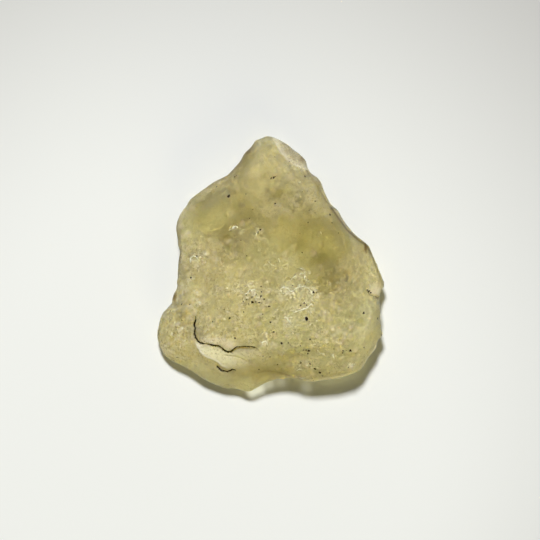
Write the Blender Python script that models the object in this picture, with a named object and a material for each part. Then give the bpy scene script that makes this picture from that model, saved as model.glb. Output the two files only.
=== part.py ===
"""Raw desert glass: one wind-worn nugget of natural glass, lying on the flat patch of its underside.

Metres, +Z up. The origin is under the middle of the plan outline, on the surface that the stone
rests on. +Y points to the narrow tip. The lists below are in millimetres, in that frame.
"""

import math

import bmesh
import bpy
import numpy as np
from mathutils import Vector, noise

MM = 0.001

LENGTH = 35.7          # along Y, from the lower point to the tip
WIDTH = 31.5           # along X, from the left lobe to the nick in the right edge
MIDDLE = (0.0, -1.5)   # every point of the outline can be seen from here

CARVING_LEVEL = 7        # icosphere level of the carved surface, 81,920 triangles
SOLID_TRIANGLES = 8600   # what the finished solid keeps of them
GROUND_SIZE = 60.0       # the block that grinds the resting patch flat

# The outline seen from above, clockwise from the tip.
OUTLINE = [
    # The tip and the chipped shoulder beside it.
    (-0.2, 17.9), (1.5, 17.2), (3.4, 16.0), (4.8, 14.6), (5.1, 13.8), (5.4, 12.9),
    # The long right slope, down to its corner.
    (6.8, 11.7), (7.6, 10.1), (8.5, 8.3), (9.2, 7.6), (10.5, 5.7), (12.6, 3.4), (13.4, 2.7), (14.0, 2.0),
    # The right edge with its nick and two dents.
    (15.0, -0.1), (15.8, -2.4), (15.7, -3.2), (15.4, -3.9), (15.3, -5.0), (15.4, -6.2), (15.2, -7.5),
    (15.7, -9.5), (15.6, -10.1), (15.15, -10.6), (14.9, -11.5),
    # The lower right lobe.
    (13.7, -13.3), (13.1, -14.3), (12.2, -15.0), (9.9, -15.7), (7.6, -16.1), (5.5, -16.4),
    # The bay and the lower point.
    (3.6, -15.9), (1.0, -15.9), (-0.8, -16.6), (-2.9, -17.8), (-4.8, -17.4), (-6.3, -17.3),
    # The straight lower left edge and the left lobe.
    (-9.0, -16.1), (-11.3, -14.6), (-13.8, -13.5), (-15.0, -12.2), (-15.7, -10.5), (-15.7, -9.5),
    (-15.1, -7.2), (-14.6, -6.5), (-13.6, -5.4), (-13.6, -4.4), (-12.9, -3.4),
    # The hollow left side and the left shoulder.
    (-12.7, -1.6), (-12.6, 0.9), (-12.6, 2.5), (-13.0, 4.0), (-13.1, 5.3), (-12.6, 6.9), (-11.6, 8.2),
    (-11.2, 9.0), (-9.6, 10.2), (-8.0, 11.3),
    # Up the left of the neck to the tip.
    (-6.2, 12.2), (-5.6, 12.7), (-4.3, 14.2), (-3.5, 15.6), (-2.8, 16.1), (-2.0, 17.3), (-1.3, 17.5),
]

# Compass bearing (0 at +X, 90 at the tip), height of the rim, and how far in the edge is rounded.
RIM = [
    (0, 2.9, 2.6), (18, 3.3, 2.4), (40, 2.4, 2.2), (58, 2.2, 1.8), (72, 1.7, 1.4), (92, 1.6, 1.5),
    (112, 2.1, 2.2), (128, 2.7, 2.6), (146, 2.3, 3.0), (162, 2.7, 3.2), (180, 2.0, 3.2), (198, 2.4, 3.4),
    (214, 1.6, 3.4), (232, 1.7, 3.0), (250, 1.0, 2.4), (263, 2.4, 2.0), (275, 3.1, 1.8), (290, 3.2, 1.9),
    (308, 3.5, 2.2), (326, 3.2, 2.2), (345, 3.5, 2.2),
]
EDGE_LIP = 0.35   # the least that either side stands away from the rim's height, just inside the edge

# Spot heights of the upper side: x, y, z.
UPPER_SPOTS = [
    (-0.4, 16.4, 3.7), (2.6, 13.6, 4.0), (-1.5, 12.8, 5.2), (4.6, 10.2, 5.4), (-5.5, 9.8, 5.4),
    (-9.4, 6.8, 5.5), (-4.5, 5.8, 6.6), (1.0, 7.0, 7.2), (6.6, 5.4, 6.5), (11.0, 2.2, 5.3),
    (-11.0, 1.4, 5.3), (-5.0, 0.4, 7.5), (1.2, 0.2, 8.4), (8.2, -0.6, 7.2), (13.2, -3.6, 5.9),
    (-10.8, -4.6, 6.1), (-5.0, -5.6, 8.1), (2.4, -6.6, 9.3), (9.0, -7.0, 8.4), (13.8, -9.6, 6.1),
    (-13.2, -9.8, 4.7), (-8.6, -9.6, 6.8), (-3.2, -10.8, 7.7), (4.6, -11.6, 8.0), (11.2, -12.4, 6.7),
    (-10.6, -12.8, 5.1), (-6.0, -14.2, 5.6), (-2.6, -15.8, 4.4), (0.8, -14.2, 6.2), (7.0, -14.8, 6.3),
]

# Spot heights of the underside. It is ground flat wherever these run below zero.
UNDER_SPOTS = [
    (-0.4, 16.2, 0.9), (-3.0, 11.0, 1.0), (4.0, 10.6, 1.0), (-10.4, 7.4, 1.4), (-4.0, 5.4, 0.5),
    (4.6, 5.6, 0.5), (11.6, 1.4, 1.7), (-11.0, 0.0, 1.5), (-5.0, -1.4, -0.1), (3.0, -2.0, -0.6),
    (9.6, -3.8, 0.7), (14.0, -6.0, 2.2), (-13.4, -9.2, 1.0), (-6.4, -8.0, -0.3), (1.0, -8.4, -0.8),
    (8.2, -9.8, 0.6), (12.8, -12.6, 2.3), (-9.6, -14.0, 0.9), (-3.2, -15.6, 0.9), (2.6, -13.4, 0.8),
    (7.4, -15.0, 2.1),
]

# Soft hollows that blown sand has ground: x, y, half length, half width, bearing, depth.
UPPER_HOLLOWS = [
    (-5.2, 7.0, 4.6, 3.0, 25, 0.55),     # the smooth left shoulder
    (8.6, 0.9, 5.6, 3.4, -48, 0.75),     # the long smooth right slope
    (2.2, 5.9, 1.5, 0.9, 10, 0.22),      # a dimple above the middle
    (-10.2, -1.2, 3.0, 1.7, 80, 0.45),   # beside the hollow left side
    (-8.3, -2.6, 1.7, 1.1, 60, 0.25),
    (0.2, 10.6, 2.6, 1.5, 20, 0.30),     # the neck
    (-1.8, -2.6, 2.6, 1.5, -35, 0.30),
    (12.4, -6.2, 2.4, 1.6, 80, 0.40),
    (-12.4, -8.0, 1.9, 1.0, 30, 0.30),   # folds in the left lobe
    (-12.6, -11.0, 1.8, 0.9, -20, 0.25),
    (10.6, -13.4, 2.4, 1.1, 20, 0.35),
    (0.4, -14.9, 3.9, 0.9, 3, 0.35),     # the trough above the bay
    (5.6, -13.0, 2.0, 1.1, 10, 0.30),
]
UNDER_HOLLOWS = [
    (-8.6, 4.2, 4.0, 2.6, 40, 0.60), (9.4, -1.0, 3.6, 2.6, -50, 0.55), (0.6, 12.6, 3.4, 2.0, 85, 0.50),
    (-10.4, -10.6, 3.2, 2.2, -30, 0.45), (9.8, -12.4, 3.0, 2.2, 20, 0.50), (-3.0, -13.2, 2.6, 1.5, 10, 0.40),
    (11.8, -7.4, 2.2, 1.6, 70, 0.40), (-11.4, -3.8, 2.0, 1.6, 90, 0.35), (5.6, 8.6, 2.4, 1.8, -40, 0.40),
]

# Struck chips, bowls that cut into the edge: x, y, floor height, radius of the bowl's curve, and how far
# the brim is worn round.
CHIPS = [
    (7.5, 20.5, 0.0, 9.0, 0.12),     # the pale bevel beside the tip
    (17.4, -3.4, 2.5, 2.4, 0.30),    # the nick in the right edge
    (18.6, -12.4, 2.2, 3.4, 0.70),   # the dent in the lower right edge
    (16.0, 7.2, 1.0, 5.0, 0.30),     # the bevel along the right slope
    (1.8, -20.6, 3.0, 7.5, 0.90),    # the bay between the two lower lobes
]

# Swellings: x, y, half length, half width, bearing, height.
LUMPS = [
    (3.6, -3.9, 2.6, 1.4, 15, 0.34), (4.4, -6.6, 1.5, 1.0, -30, 0.22), (-2.1, -4.2, 1.6, 1.1, 20, 0.30),
    (-4.8, 5.1, 0.8, 0.7, 0, 0.20), (-1.9, 4.0, 0.9, 0.6, 40, 0.20), (-10.8, 0.9, 1.0, 0.8, 30, 0.22),
    (-9.0, -0.9, 1.3, 0.8, 10, 0.20), (9.6, -9.7, 1.6, 0.9, -10, 0.32), (7.0, -11.4, 1.4, 0.8, 5, 0.26),
    (9.4, -12.5, 1.3, 0.6, 15, 0.24), (1.6, -12.2, 2.0, 1.0, -8, 0.30), (3.9, -14.1, 1.6, 0.7, -12, 0.28),
    (-6.0, -10.6, 1.5, 0.6, -4, 0.28), (-5.3, -11.5, 0.8, 0.5, 0, 0.30), (-7.6, -7.4, 1.4, 0.9, 20, 0.22),
    (-12.0, -6.6, 1.8, 0.6, 24, 0.26), (-13.0, -9.9, 1.5, 0.6, 80, 0.20), (-10.6, -5.6, 1.4, 0.6, 12, 0.20),
    (12.6, -10.4, 0.9, 1.6, 10, 0.20), (0.0, -8.6, 1.8, 1.2, -20, 0.20), (5.4, -9.2, 1.6, 0.8, 10, 0.18),
]

# Parted ledges: the path of each, how far its lower side drops, and the depth of the open seam.
MAIN_CRACK = [
    (-10.4, -7.9), (-10.6, -8.6), (-10.5, -9.4), (-10.4, -10.2), (-9.8, -11.0), (-8.8, -11.1), (-7.1, -11.4),
    (-6.4, -11.9), (-5.6, -12.2), (-5.1, -11.9), (-4.6, -11.6), (-3.2, -11.6), (-1.8, -11.7),
]
FLAKE_EDGE = [(-10.3, -11.7), (-9.6, -12.5), (-8.6, -13.2), (-7.4, -13.7), (-6.8, -14.1)]
LOWER_CRACK = [(-7.4, -14.1), (-6.7, -14.8), (-5.9, -15.0), (-5.2, -14.7), (-4.7, -14.8)]
TROUGH_EDGE = [(-2.6, -14.9), (-0.4, -14.8), (1.6, -15.0), (3.0, -15.4), (4.4, -15.9)]
LEDGES = [
    (MAIN_CRACK, 0.42, 0.75), (FLAKE_EDGE, 0.30, 0.0), (LOWER_CRACK, 0.16, 0.50), (TROUGH_EDGE, 0.26, 0.0),
]
SEAM_HALF_WIDTH = 0.20
STEP_SOFTNESS = 0.16     # half the width over which a ledge drops
LEDGE_REACH = 1.5        # a ledge fades into the surface over this distance
LEDGE_TAPER = 0.14       # share of a ledge's length over which each end fades out

# Grain of the whole surface: wavelength, height. The seed only shifts the noise.
WORN_SWELL = (4.2, 0.16)
WORN_DIMPLES = (1.9, 0.09)
WORN_GRAIN = (0.8, 0.035)
NOISE_SEED = Vector((11.3, 4.7, 29.1))

GLASS_YELLOW = (0.47, 0.41, 0.14, 1.0)


def closed_curve(knots, per_span=12):
    """Points along a closed Catmull-Rom curve through the knots."""
    knots = np.array(knots)
    before, after, beyond = np.roll(knots, 1, 0), np.roll(knots, -1, 0), np.roll(knots, -2, 0)
    spans = []
    for t in np.arange(per_span) / per_span:
        spans.append(0.5 * (
            2 * knots
            + (after - before) * t
            + (2 * before - 5 * knots + 4 * after - beyond) * t ** 2
            + (3 * knots - before - 3 * after + beyond) * t ** 3
        ))
    return np.stack(spans, 1).reshape(-1, 2)


def fitted_outline():
    """The outline's points, stretched so that its extents are exactly WIDTH and LENGTH about the origin."""
    points = closed_curve(OUTLINE)
    low, high = points.min(0), points.max(0)
    return (points - (low + high) / 2) * np.array((WIDTH, LENGTH)) / (high - low)


def outline_reach(bearing):
    """How far the outline is from MIDDLE in each direction."""
    offset = fitted_outline() - MIDDLE
    angles = np.arctan2(offset[:, 1], offset[:, 0])
    order = np.argsort(angles)
    return np.interp(bearing, angles[order], np.hypot(*offset.T)[order], period=2 * math.pi)


def rim_at(bearing, column):
    """The rim's height (column 1) or the width of its rounding (column 2), eased between the listed bearings."""
    rows = np.array(RIM + [(RIM[0][0] + 360, *RIM[0][1:])])
    degrees = np.degrees(bearing) % 360
    span = np.clip(np.searchsorted(rows[:, 0], degrees, side="right") - 1, 0, len(rows) - 2)
    share = (degrees - rows[span, 0]) / (rows[span + 1, 0] - rows[span, 0])
    return rows[span, column] + (rows[span + 1, column] - rows[span, column]) * ease(share)


def ease(share):
    """0 to 1 with no corner at either end."""
    share = np.clip(share, 0, 1)
    return share * share * (3 - 2 * share)


def plate_kernel(distance):
    return distance ** 2 * np.log(np.maximum(distance, 1e-9))


def spot_surface(spots, x, y):
    """Height at x, y of the thin plate bent through every spot height."""
    spots = np.array(spots)
    count = len(spots)
    plane = np.column_stack((np.ones(count), spots[:, :2]))
    gaps = np.hypot(spots[:, None, 0] - spots[None, :, 0], spots[:, None, 1] - spots[None, :, 1])
    system = np.block([[plate_kernel(gaps), plane], [plane.T, np.zeros((3, 3))]])
    weights = np.linalg.solve(system, np.concatenate((spots[:, 2], np.zeros(3))))
    height = weights[count] + weights[count + 1] * x + weights[count + 2] * y
    for (spot_x, spot_y, _), weight in zip(spots, weights):
        height = height + weight * plate_kernel(np.hypot(x - spot_x, y - spot_y))
    return height


def bowl(x, y, centre_x, centre_y, half_length, half_width, bearing, amount):
    """A smooth round-edged bump of the given height. Taken away, it is a hollow."""
    turn = math.radians(bearing)
    along = (x - centre_x) * math.cos(turn) + (y - centre_y) * math.sin(turn)
    across = (y - centre_y) * math.cos(turn) - (x - centre_x) * math.sin(turn)
    return amount * np.exp(-1.6 * ((along / half_length) ** 2 + (across / half_width) ** 2))


def smooth_min(first, second, blend):
    """The lower of two surfaces, with the arris between them rounded over about the blend's height."""
    share = np.clip(0.5 + 0.5 * (second - first) / blend, 0, 1)
    return second * (1 - share) + first * share - blend * share * (1 - share)


def path_frame(x, y, path):
    """Distance to a path, which side of it each point is on (1 to the left of its way), and the share along it."""
    path = np.array(path)
    steps = np.diff(path, axis=0)
    lengths = np.hypot(*steps.T)
    passed = np.concatenate(([0], np.cumsum(lengths)))
    distance, side, along = np.full(x.shape, np.inf), np.zeros(x.shape), np.zeros(x.shape)
    for start, step, length, before in zip(path, steps, lengths, passed):
        to_x, to_y = x - start[0], y - start[1]
        share = np.clip((to_x * step[0] + to_y * step[1]) / length ** 2, 0, 1)
        gap = np.hypot(to_x - share * step[0], to_y - share * step[1])
        nearer = gap < distance
        distance = np.where(nearer, gap, distance)
        side = np.where(nearer, np.sign(step[0] * to_y - step[1] * to_x), side)
        along = np.where(nearer, (before + share * length) / passed[-1], along)
    return distance, side, along


def ledge(x, y, path, drop, seam_depth):
    """How much a parted ledge raises the surface: up on the left of its path, down on the right, with an open seam."""
    distance, side, along = path_frame(x, y, path)
    fade = ease(along / LEDGE_TAPER) * ease((1 - along) / LEDGE_TAPER)
    step = np.tanh(side * distance / STEP_SOFTNESS) * np.exp(-distance / LEDGE_REACH)
    seam = np.exp(-((distance / SEAM_HALF_WIDTH) ** 2))
    return fade * (0.5 * drop * step - seam_depth * seam)


def upper_side(x, y, rim, rounding):
    """Height of the upper side. rounding runs from 0 at the rim to 1 where the edge's curve ends."""
    height = rim + (spot_surface(UPPER_SPOTS, x, y) - rim) * rounding
    for chip_x, chip_y, floor, radius, brim in CHIPS:
        scar = floor + ((x - chip_x) ** 2 + (y - chip_y) ** 2) / (2 * radius)
        height = smooth_min(height, scar, brim)
    for hollow in UPPER_HOLLOWS:
        height = height - bowl(x, y, *hollow) * rounding
    for lump in LUMPS:
        height = height + bowl(x, y, *lump) * rounding
    for path, drop, seam_depth in LEDGES:
        height = height + ledge(x, y, path, drop, seam_depth) * rounding
    return np.maximum(height, rim + EDGE_LIP * rounding)


def underside(x, y, rim, rounding):
    """Height of the underside, before it is ground flat."""
    height = rim + (spot_surface(UNDER_SPOTS, x, y) - rim) * rounding
    for hollow in UNDER_HOLLOWS:
        height = height + bowl(x, y, *hollow) * rounding
    return np.minimum(height, rim - EDGE_LIP * rounding)


def nugget_form(direction):
    """Where each point of a unit sphere goes: the equator becomes the rim, and the halves the two sides."""
    level = np.clip(np.hypot(direction[:, 0], direction[:, 1]), 0, 1)
    bearing = np.arctan2(direction[:, 1], direction[:, 0])
    reach = outline_reach(bearing)
    x = MIDDLE[0] + level * reach * np.cos(bearing)
    y = MIDDLE[1] + level * reach * np.sin(bearing)
    rim, edge_width = rim_at(bearing, 1), rim_at(bearing, 2)
    inward = np.clip((1 - level) * reach / edge_width, 0, 1)
    rounding = np.sqrt(1 - (1 - inward) ** 2)
    upper = direction[:, 2] > 0
    z = np.where(upper, upper_side(x, y, rim, rounding), underside(x, y, rim, rounding))
    return np.column_stack((x, y, z))


def worn_grain(point):
    """How far blown sand has left the surface standing proud at this point."""
    swell = WORN_SWELL[1] * noise.noise(point / WORN_SWELL[0] + NOISE_SEED)
    cells = noise.voronoi(point / WORN_DIMPLES[0] + NOISE_SEED)[0]
    dimples = WORN_DIMPLES[1] * (cells[0] - 0.45)
    grain = WORN_GRAIN[1] * noise.noise(point / WORN_GRAIN[0] + NOISE_SEED)
    return swell + dimples + grain


def make_glass():
    material = bpy.data.materials.new("desert_glass")
    material.use_nodes = True
    surface = material.node_tree.nodes["Principled BSDF"]
    surface.inputs["Base Color"].default_value = GLASS_YELLOW
    surface.inputs["Metallic"].default_value = 0.0
    surface.inputs["Roughness"].default_value = 0.35
    surface.inputs["IOR"].default_value = 1.46
    surface.inputs["Transmission Weight"].default_value = 0.6
    return material


def make_ground(collection):
    """The block whose top face, at height 0, grinds the resting patch."""
    mesh = bpy.data.meshes.new("ground")
    block = bmesh.new()
    bmesh.ops.create_cube(block, size=GROUND_SIZE * MM)
    bmesh.ops.translate(block, vec=(0, 0, -GROUND_SIZE * MM / 2), verts=block.verts)
    block.to_mesh(mesh)
    block.free()
    ground = bpy.data.objects.new("ground", mesh)
    ground.hide_render = True
    ground.display_type = "WIRE"
    collection.objects.link(ground)
    return ground


def make_nugget(ground):
    """The whole stone: a fine sphere moved to the nugget's form, given its grain, thinned and ground flat below."""
    mesh = bpy.data.meshes.new("desert_glass_nugget")
    form = bmesh.new()
    bmesh.ops.create_icosphere(form, subdivisions=CARVING_LEVEL, radius=1.0)
    places = nugget_form(np.array([vertex.co for vertex in form.verts]))
    for vertex, place in zip(form.verts, places):
        vertex.co = place
    form.normal_update()
    for vertex in form.verts:
        vertex.co = vertex.co + vertex.normal * worn_grain(vertex.co)
    bmesh.ops.scale(form, vec=(MM, MM, MM), verts=form.verts)
    form.to_mesh(mesh)
    triangles = len(form.faces)
    form.free()

    nugget = bpy.data.objects.new("desert_glass_nugget", mesh)
    nugget.data.materials.append(make_glass())
    nugget.data.shade_smooth()
    thin = nugget.modifiers.new("thin", "DECIMATE")
    thin.ratio = SOLID_TRIANGLES / triangles
    grind = nugget.modifiers.new("grind", "BOOLEAN")
    grind.operation = "DIFFERENCE"
    grind.object = ground
    return nugget


def main():
    for left_over in list(bpy.data.objects):
        bpy.data.objects.remove(left_over)
    collection = bpy.data.collections.new("raw_desert_glass")
    cutters = bpy.data.collections.new("cutters")
    bpy.context.scene.collection.children.link(collection)
    bpy.context.scene.collection.children.link(cutters)
    collection.objects.link(make_nugget(make_ground(cutters)))


main()
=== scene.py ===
"""Raw desert glass: the looks of one wind-worn nugget of natural glass on a plain pale floor.

Metres, +Z up, +Y towards the nugget's narrow tip. Places on the upper side are given in the photograph's
pixels, as (across, down), and turned to metres by spot().
"""
import math

import bmesh
import bpy
import numpy as np
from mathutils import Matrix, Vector
from mathutils.bvhtree import BVHTree


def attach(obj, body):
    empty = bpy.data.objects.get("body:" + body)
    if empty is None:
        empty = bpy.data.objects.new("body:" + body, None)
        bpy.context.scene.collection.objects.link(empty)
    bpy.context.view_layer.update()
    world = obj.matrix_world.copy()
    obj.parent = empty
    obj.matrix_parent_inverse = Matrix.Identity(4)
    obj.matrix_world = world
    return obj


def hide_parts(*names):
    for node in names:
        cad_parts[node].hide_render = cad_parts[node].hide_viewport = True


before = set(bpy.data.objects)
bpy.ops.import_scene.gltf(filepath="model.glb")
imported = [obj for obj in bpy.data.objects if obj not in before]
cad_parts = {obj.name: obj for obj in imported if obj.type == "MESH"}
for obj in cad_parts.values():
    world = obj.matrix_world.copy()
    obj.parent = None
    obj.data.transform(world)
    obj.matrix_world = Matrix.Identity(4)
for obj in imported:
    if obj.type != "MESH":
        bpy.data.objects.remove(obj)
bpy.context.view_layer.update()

MM = 0.001
NODE = "desert_glass_nugget"

# How the photograph lies over the nugget: one pixel's width, and the pixel above the origin.
PIXEL = 0.14 * MM
PHOTO_ORIGIN = (270, 264)
PHOTO_SIDE = 540
PHOTO_CENTRE = PHOTO_SIDE / 2

# The fine surface: the grid that the solid is rebuilt on, halved on the upper side, again round details, and
# once more close to them.
GRID = 0.40 * MM
UPPER_FACING = 0.12      # a vertex whose normal points up by this much is on the upper side
DETAIL_REACH = 0.45 * MM
EDGE_REACH = 0.20 * MM
FROTHY = 0.30            # froth thicker than this is halved too
FROTHIEST = 0.75         # and once more over this

# Pits and specks of dirt, listed one by one: across, down, radius in mm, whether dirt fills it.
PITS = [
    (306, 318, 0.25, 1), (229, 197, 0.20, 1), (273.8, 178.4, 0.16, 1), (271, 179.2, 0.13, 1),
    (275.6, 177.9, 0.11, 1), (252.5, 302, 0.18, 1), (256, 301.6, 0.12, 1), (259.2, 302.4, 0.12, 1),
    (262, 302.8, 0.09, 1), (248.6, 303.2, 0.08, 1), (308.2, 350, 0.18, 1), (305.6, 349.3, 0.13, 1),
    (303, 349.2, 0.10, 1), (307.3, 352.5, 0.11, 1), (349.5, 349.7, 0.15, 1), (342, 350, 0.10, 1),
    (345.6, 349.2, 0.08, 1), (319.3, 371.5, 0.18, 1), (368, 290.8, 0.18, 1), (369.6, 292.4, 0.13, 1),
    (366.6, 289.8, 0.10, 1), (303.8, 302.6, 0.16, 1), (306, 305, 0.13, 1), (313, 292, 0.13, 1),
    (316, 292.6, 0.10, 1), (281.5, 342.5, 0.14, 1), (288, 342.2, 0.12, 1), (290.2, 343.8, 0.11, 1),
    (235.5, 337.5, 0.14, 1), (191.5, 277.5, 0.14, 1), (181.8, 257.2, 0.13, 1), (182, 258.8, 0.09, 1),
    (260.3, 230.5, 0.14, 1), (329.5, 215.3, 0.14, 1), (362.7, 312.5, 0.17, 1), (376.5, 318, 0.12, 1),
    (235, 178, 0.13, 1), (236.6, 177, 0.08, 1), (217, 187.5, 0.10, 1), (305, 177.5, 0.13, 1),
    (182.5, 303.5, 0.12, 1), (190.5, 304, 0.10, 1), (171.5, 310.5, 0.10, 1), (174, 310.6, 0.08, 1),
    (230, 317.5, 0.13, 1), (269, 306, 0.13, 1), (263, 314, 0.10, 1), (267, 317.5, 0.10, 1),
    (270.5, 321.5, 0.12, 1), (273.5, 331, 0.13, 1), (302, 192.5, 0.08, 1), (315, 202, 0.10, 1),
    (314.5, 213.5, 0.08, 1), (307.5, 223, 0.10, 1), (331.5, 223.5, 0.08, 1), (337.5, 233.3, 0.09, 1),
    (275, 204, 0.10, 1), (247, 256, 0.10, 1), (246, 195, 0.08, 1), (253, 210, 0.10, 1),
    (250, 219, 0.08, 1), (302, 252.5, 0.08, 1), (225, 309.5, 0.08, 1), (244, 311.5, 0.09, 1),
    (213, 321, 0.08, 1), (178, 357, 0.08, 1), (300, 345, 0.09, 1), (300.5, 361.5, 0.12, 1),
    (309.7, 363, 0.12, 1), (314.5, 368, 0.13, 1), (277.5, 363.5, 0.11, 1), (270, 356, 0.08, 1),
    (263, 355, 0.08, 1), (322, 375, 0.10, 1), (328.5, 372, 0.13, 1), (311.5, 377, 0.11, 1),
    (313, 379.5, 0.09, 1), (333.5, 348, 0.10, 1), (363, 346.5, 0.10, 1), (309.5, 338.5, 0.10, 1),
    (315.5, 337.5, 0.08, 1), (347.5, 366, 0.10, 1), (341, 345, 0.08, 1), (355, 352.5, 0.08, 1),
    (261, 296, 0.11, 1), (256.5, 294, 0.11, 1), (252, 297, 0.11, 1), (247, 299, 0.11, 1),
    (243.5, 301, 0.11, 1), (246.5, 294.5, 0.11, 1), (264.5, 299, 0.11, 1), (250.5, 290.5, 0.11, 1),
    # Open bubbles with no dirt in them.
    (172, 346, 0.19, 0), (275, 260, 0.19, 0), (235, 227.6, 0.29, 0), (230.4, 230.6, 0.21, 0),
    (234.4, 236.6, 0.22, 0), (257.4, 234.2, 0.23, 0), (194, 259.4, 0.36, 0), (302.6, 274.8, 0.31, 0),
    (293.2, 278.6, 0.23, 0), (308.4, 281.6, 0.30, 0), (312, 302, 0.26, 0), (275, 203, 0.22, 0),
    (320.4, 233, 0.17, 0), (299, 183, 0.19, 0), (343.5, 335, 0.22, 0), (352, 364, 0.25, 0),
]

# Froth: fields of burst bubbles. Across, down, half width and half height in mm, strength.
FROTH = [
    (288, 290, 2.2, 0.9, 1.0), (302, 289, 2.2, 1.1, 0.9), (303, 276, 1.2, 1.0, 0.8),
    (293, 279, 0.9, 0.8, 0.6), (311, 300, 1.1, 1.4, 0.7), (289, 322, 0.8, 0.9, 0.9),
    (300, 310, 1.4, 1.2, 0.4), (254, 291, 1.6, 1.5, 0.7), (278, 264, 2.4, 1.6, 0.60),
    (196, 260, 1.2, 1.0, 0.6), (234, 229, 0.8, 0.9, 0.6), (258, 234, 0.7, 0.9, 0.5),
    (334, 354, 3.2, 0.6, 0.5), (266, 342, 0.9, 0.6, 0.6), (352, 364, 0.7, 0.7, 0.5),
    (300, 368, 1.2, 0.6, 0.3),
]

# Lace: the thin rims that big burst bubbles have left, raised a little and painted pale as a highlight, each
# a path of the photograph's pixels.
LACE = [
    [(280.5, 289), (282, 287.6), (285, 287), (288, 288.5), (290.5, 291.5), (293, 290), (297, 287.3),
     (303, 286), (307, 287.6), (311, 291), (311.5, 294.5)],
    [(311.6, 296.5), (311, 299.5), (313, 301), (310.6, 303.6), (305.5, 308), (298.5, 310), (294, 312)],
    [(281, 290), (281.5, 293), (284, 293.5)],
    [(299, 274.5), (301, 273.3), (303.4, 273.8), (304.4, 276.2), (304, 279), (306, 280.5), (309, 282)],
    [(291, 279.5), (293, 277.5), (295.2, 276)], [(286.5, 317), (288, 320), (290.5, 322.6)],
    [(233.2, 229.4), (234.4, 227.2), (236.6, 226.6), (238, 228.6)], [(229.4, 230.4), (231.4, 229.8)],
    [(256, 236), (257, 233.6), (258.2, 232)],
    [(192, 262.5), (191.4, 258.5), (194, 256.2), (197, 256.6), (198.4, 259)],
    [(248, 292.5), (250.4, 290.4), (254, 289.6), (257.6, 291)],
    [(316.4, 348.6), (319, 352), (324, 353.4)], [(332, 353), (332.6, 355.6), (333.4, 358)],
    [(350.6, 363.2), (353, 363.2)], [(262, 341.6), (264.6, 340.4), (267.6, 342), (267, 344.6)],
    [(296.4, 369.6), (299, 367.8), (302, 369)], [(298.8, 376), (302, 377.2), (305, 376.6)],
    [(298, 183.2), (300, 182.8)], [(320, 232), (321, 233.6)], [(268.5, 262), (271, 264.6), (275, 266.4)],
    [(278.6, 258.6), (279.4, 262)], [(300, 268.6), (302.4, 269.4)],
]
LACE_HALF_WIDTH = 0.07   # in mm
LACE_HEIGHT = 0.05       # in mm

# Swollen skin: fields of low round knobs over closed bubbles, as the froth rows.
KNOBS = [
    (336, 334, 3.2, 1.8, 1.0), (256, 290, 2.6, 2.0, 0.8), (197, 260, 2.4, 1.6, 1.0),
    (236, 231, 1.4, 1.4, 0.8), (258, 234, 1.4, 1.6, 0.6), (266, 342, 1.8, 1.0, 1.0),
    (300, 300, 4.0, 3.0, 0.7), (214, 320, 2.4, 1.4, 0.8), (186, 292, 2.2, 2.0, 0.7),
    (300, 368, 5.0, 1.4, 0.7), (180, 330, 2.4, 3.0, 0.6), (184, 216, 1.4, 3.0, 0.6),
    (280, 255, 3.4, 2.4, 0.5), (205, 345, 1.2, 1.0, 0.5), (345, 356, 2.6, 1.6, 0.8),
    (280, 330, 3.4, 2.0, 0.5),
]

# Milky skin, frosted by blown sand: as the froth rows.
MILKY = [
    (182, 214, 1.3, 3.0, 0.5), (192, 252, 2.4, 2.6, 0.9), (190, 290, 3.0, 2.4, 0.9),
    (222, 282, 3.8, 3.6, 0.75), (208, 262, 2.0, 2.0, 0.5), (240, 318, 4.4, 3.0, 0.65),
    (280, 330, 5.6, 2.8, 0.75), (222, 342, 3.4, 1.5, 0.9), (300, 300, 4.2, 3.6, 0.5),
    (330, 352, 5.4, 2.4, 0.25), (310, 368, 4.6, 1.5, 0.5), (180, 346, 2.8, 3.2, 0.7),
    (168, 322, 1.4, 3.2, 0.6), (372, 272, 1.5, 3.2, 0.8), (374, 300, 1.4, 3.2, 0.5),
    (297, 157, 2.6, 1.2, 1.0), (272, 160, 1.8, 2.2, 0.35), (285, 171, 2.6, 0.9, 0.5),
    (231, 186, 3.2, 0.8, 0.7), (208, 372, 4.2, 1.0, 0.4), (345, 320, 3.0, 3.6, 0.35),
    (256, 172, 1.2, 2.4, 0.35), (188, 232, 1.0, 2.4, 0.6), (198, 364, 4.4, 1.6, 0.9),
    (170, 342, 1.8, 3.2, 0.8), (228, 380, 3.6, 1.0, 0.7), (250, 386, 1.8, 0.8, 0.6),
    (214, 312, 4.0, 1.8, 0.6), (262, 340, 4.0, 2.2, 0.5), (255, 360, 3.6, 1.4, 0.4),
    (350, 356, 3.0, 1.6, 0.4),
]

# Clear skin, where the colour is deepest: as the froth rows.
CLEAR = [
    (214, 226, 4.6, 2.6, 0.9), (236, 214, 3.0, 2.0, 0.45), (328, 258, 4.6, 3.4, 0.75),
    (310, 240, 3.4, 2.4, 0.35), (262, 190, 3.6, 1.6, 0.5), (286, 222, 3.4, 1.2, 0.6),
    (266, 372, 5.4, 1.3, 0.85), (236, 374, 3.2, 1.0, 0.5), (222, 302, 2.2, 1.0, 0.5),
    (258, 250, 3.4, 1.4, 0.4), (214, 310, 1.4, 1.2, 0.4), (245, 152, 0.8, 1.2, 0.7),
    (332, 351.5, 1.6, 0.8, 0.7), (342, 356, 1.6, 1.0, 0.5), (258, 180, 3.0, 2.2, 0.7),
    (276, 250, 3.4, 4.4, 0.8), (250, 248, 2.4, 1.6, 0.35), (222, 208, 3.4, 1.4, 0.8),
    (236, 188, 3.6, 1.2, 0.4), (284, 282, 2.6, 2.6, 0.6), (312, 282, 2.0, 1.6, 0.6),
    (246, 160, 1.6, 2.0, 0.6), (218, 284, 1.8, 1.8, 0.5),
]

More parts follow.
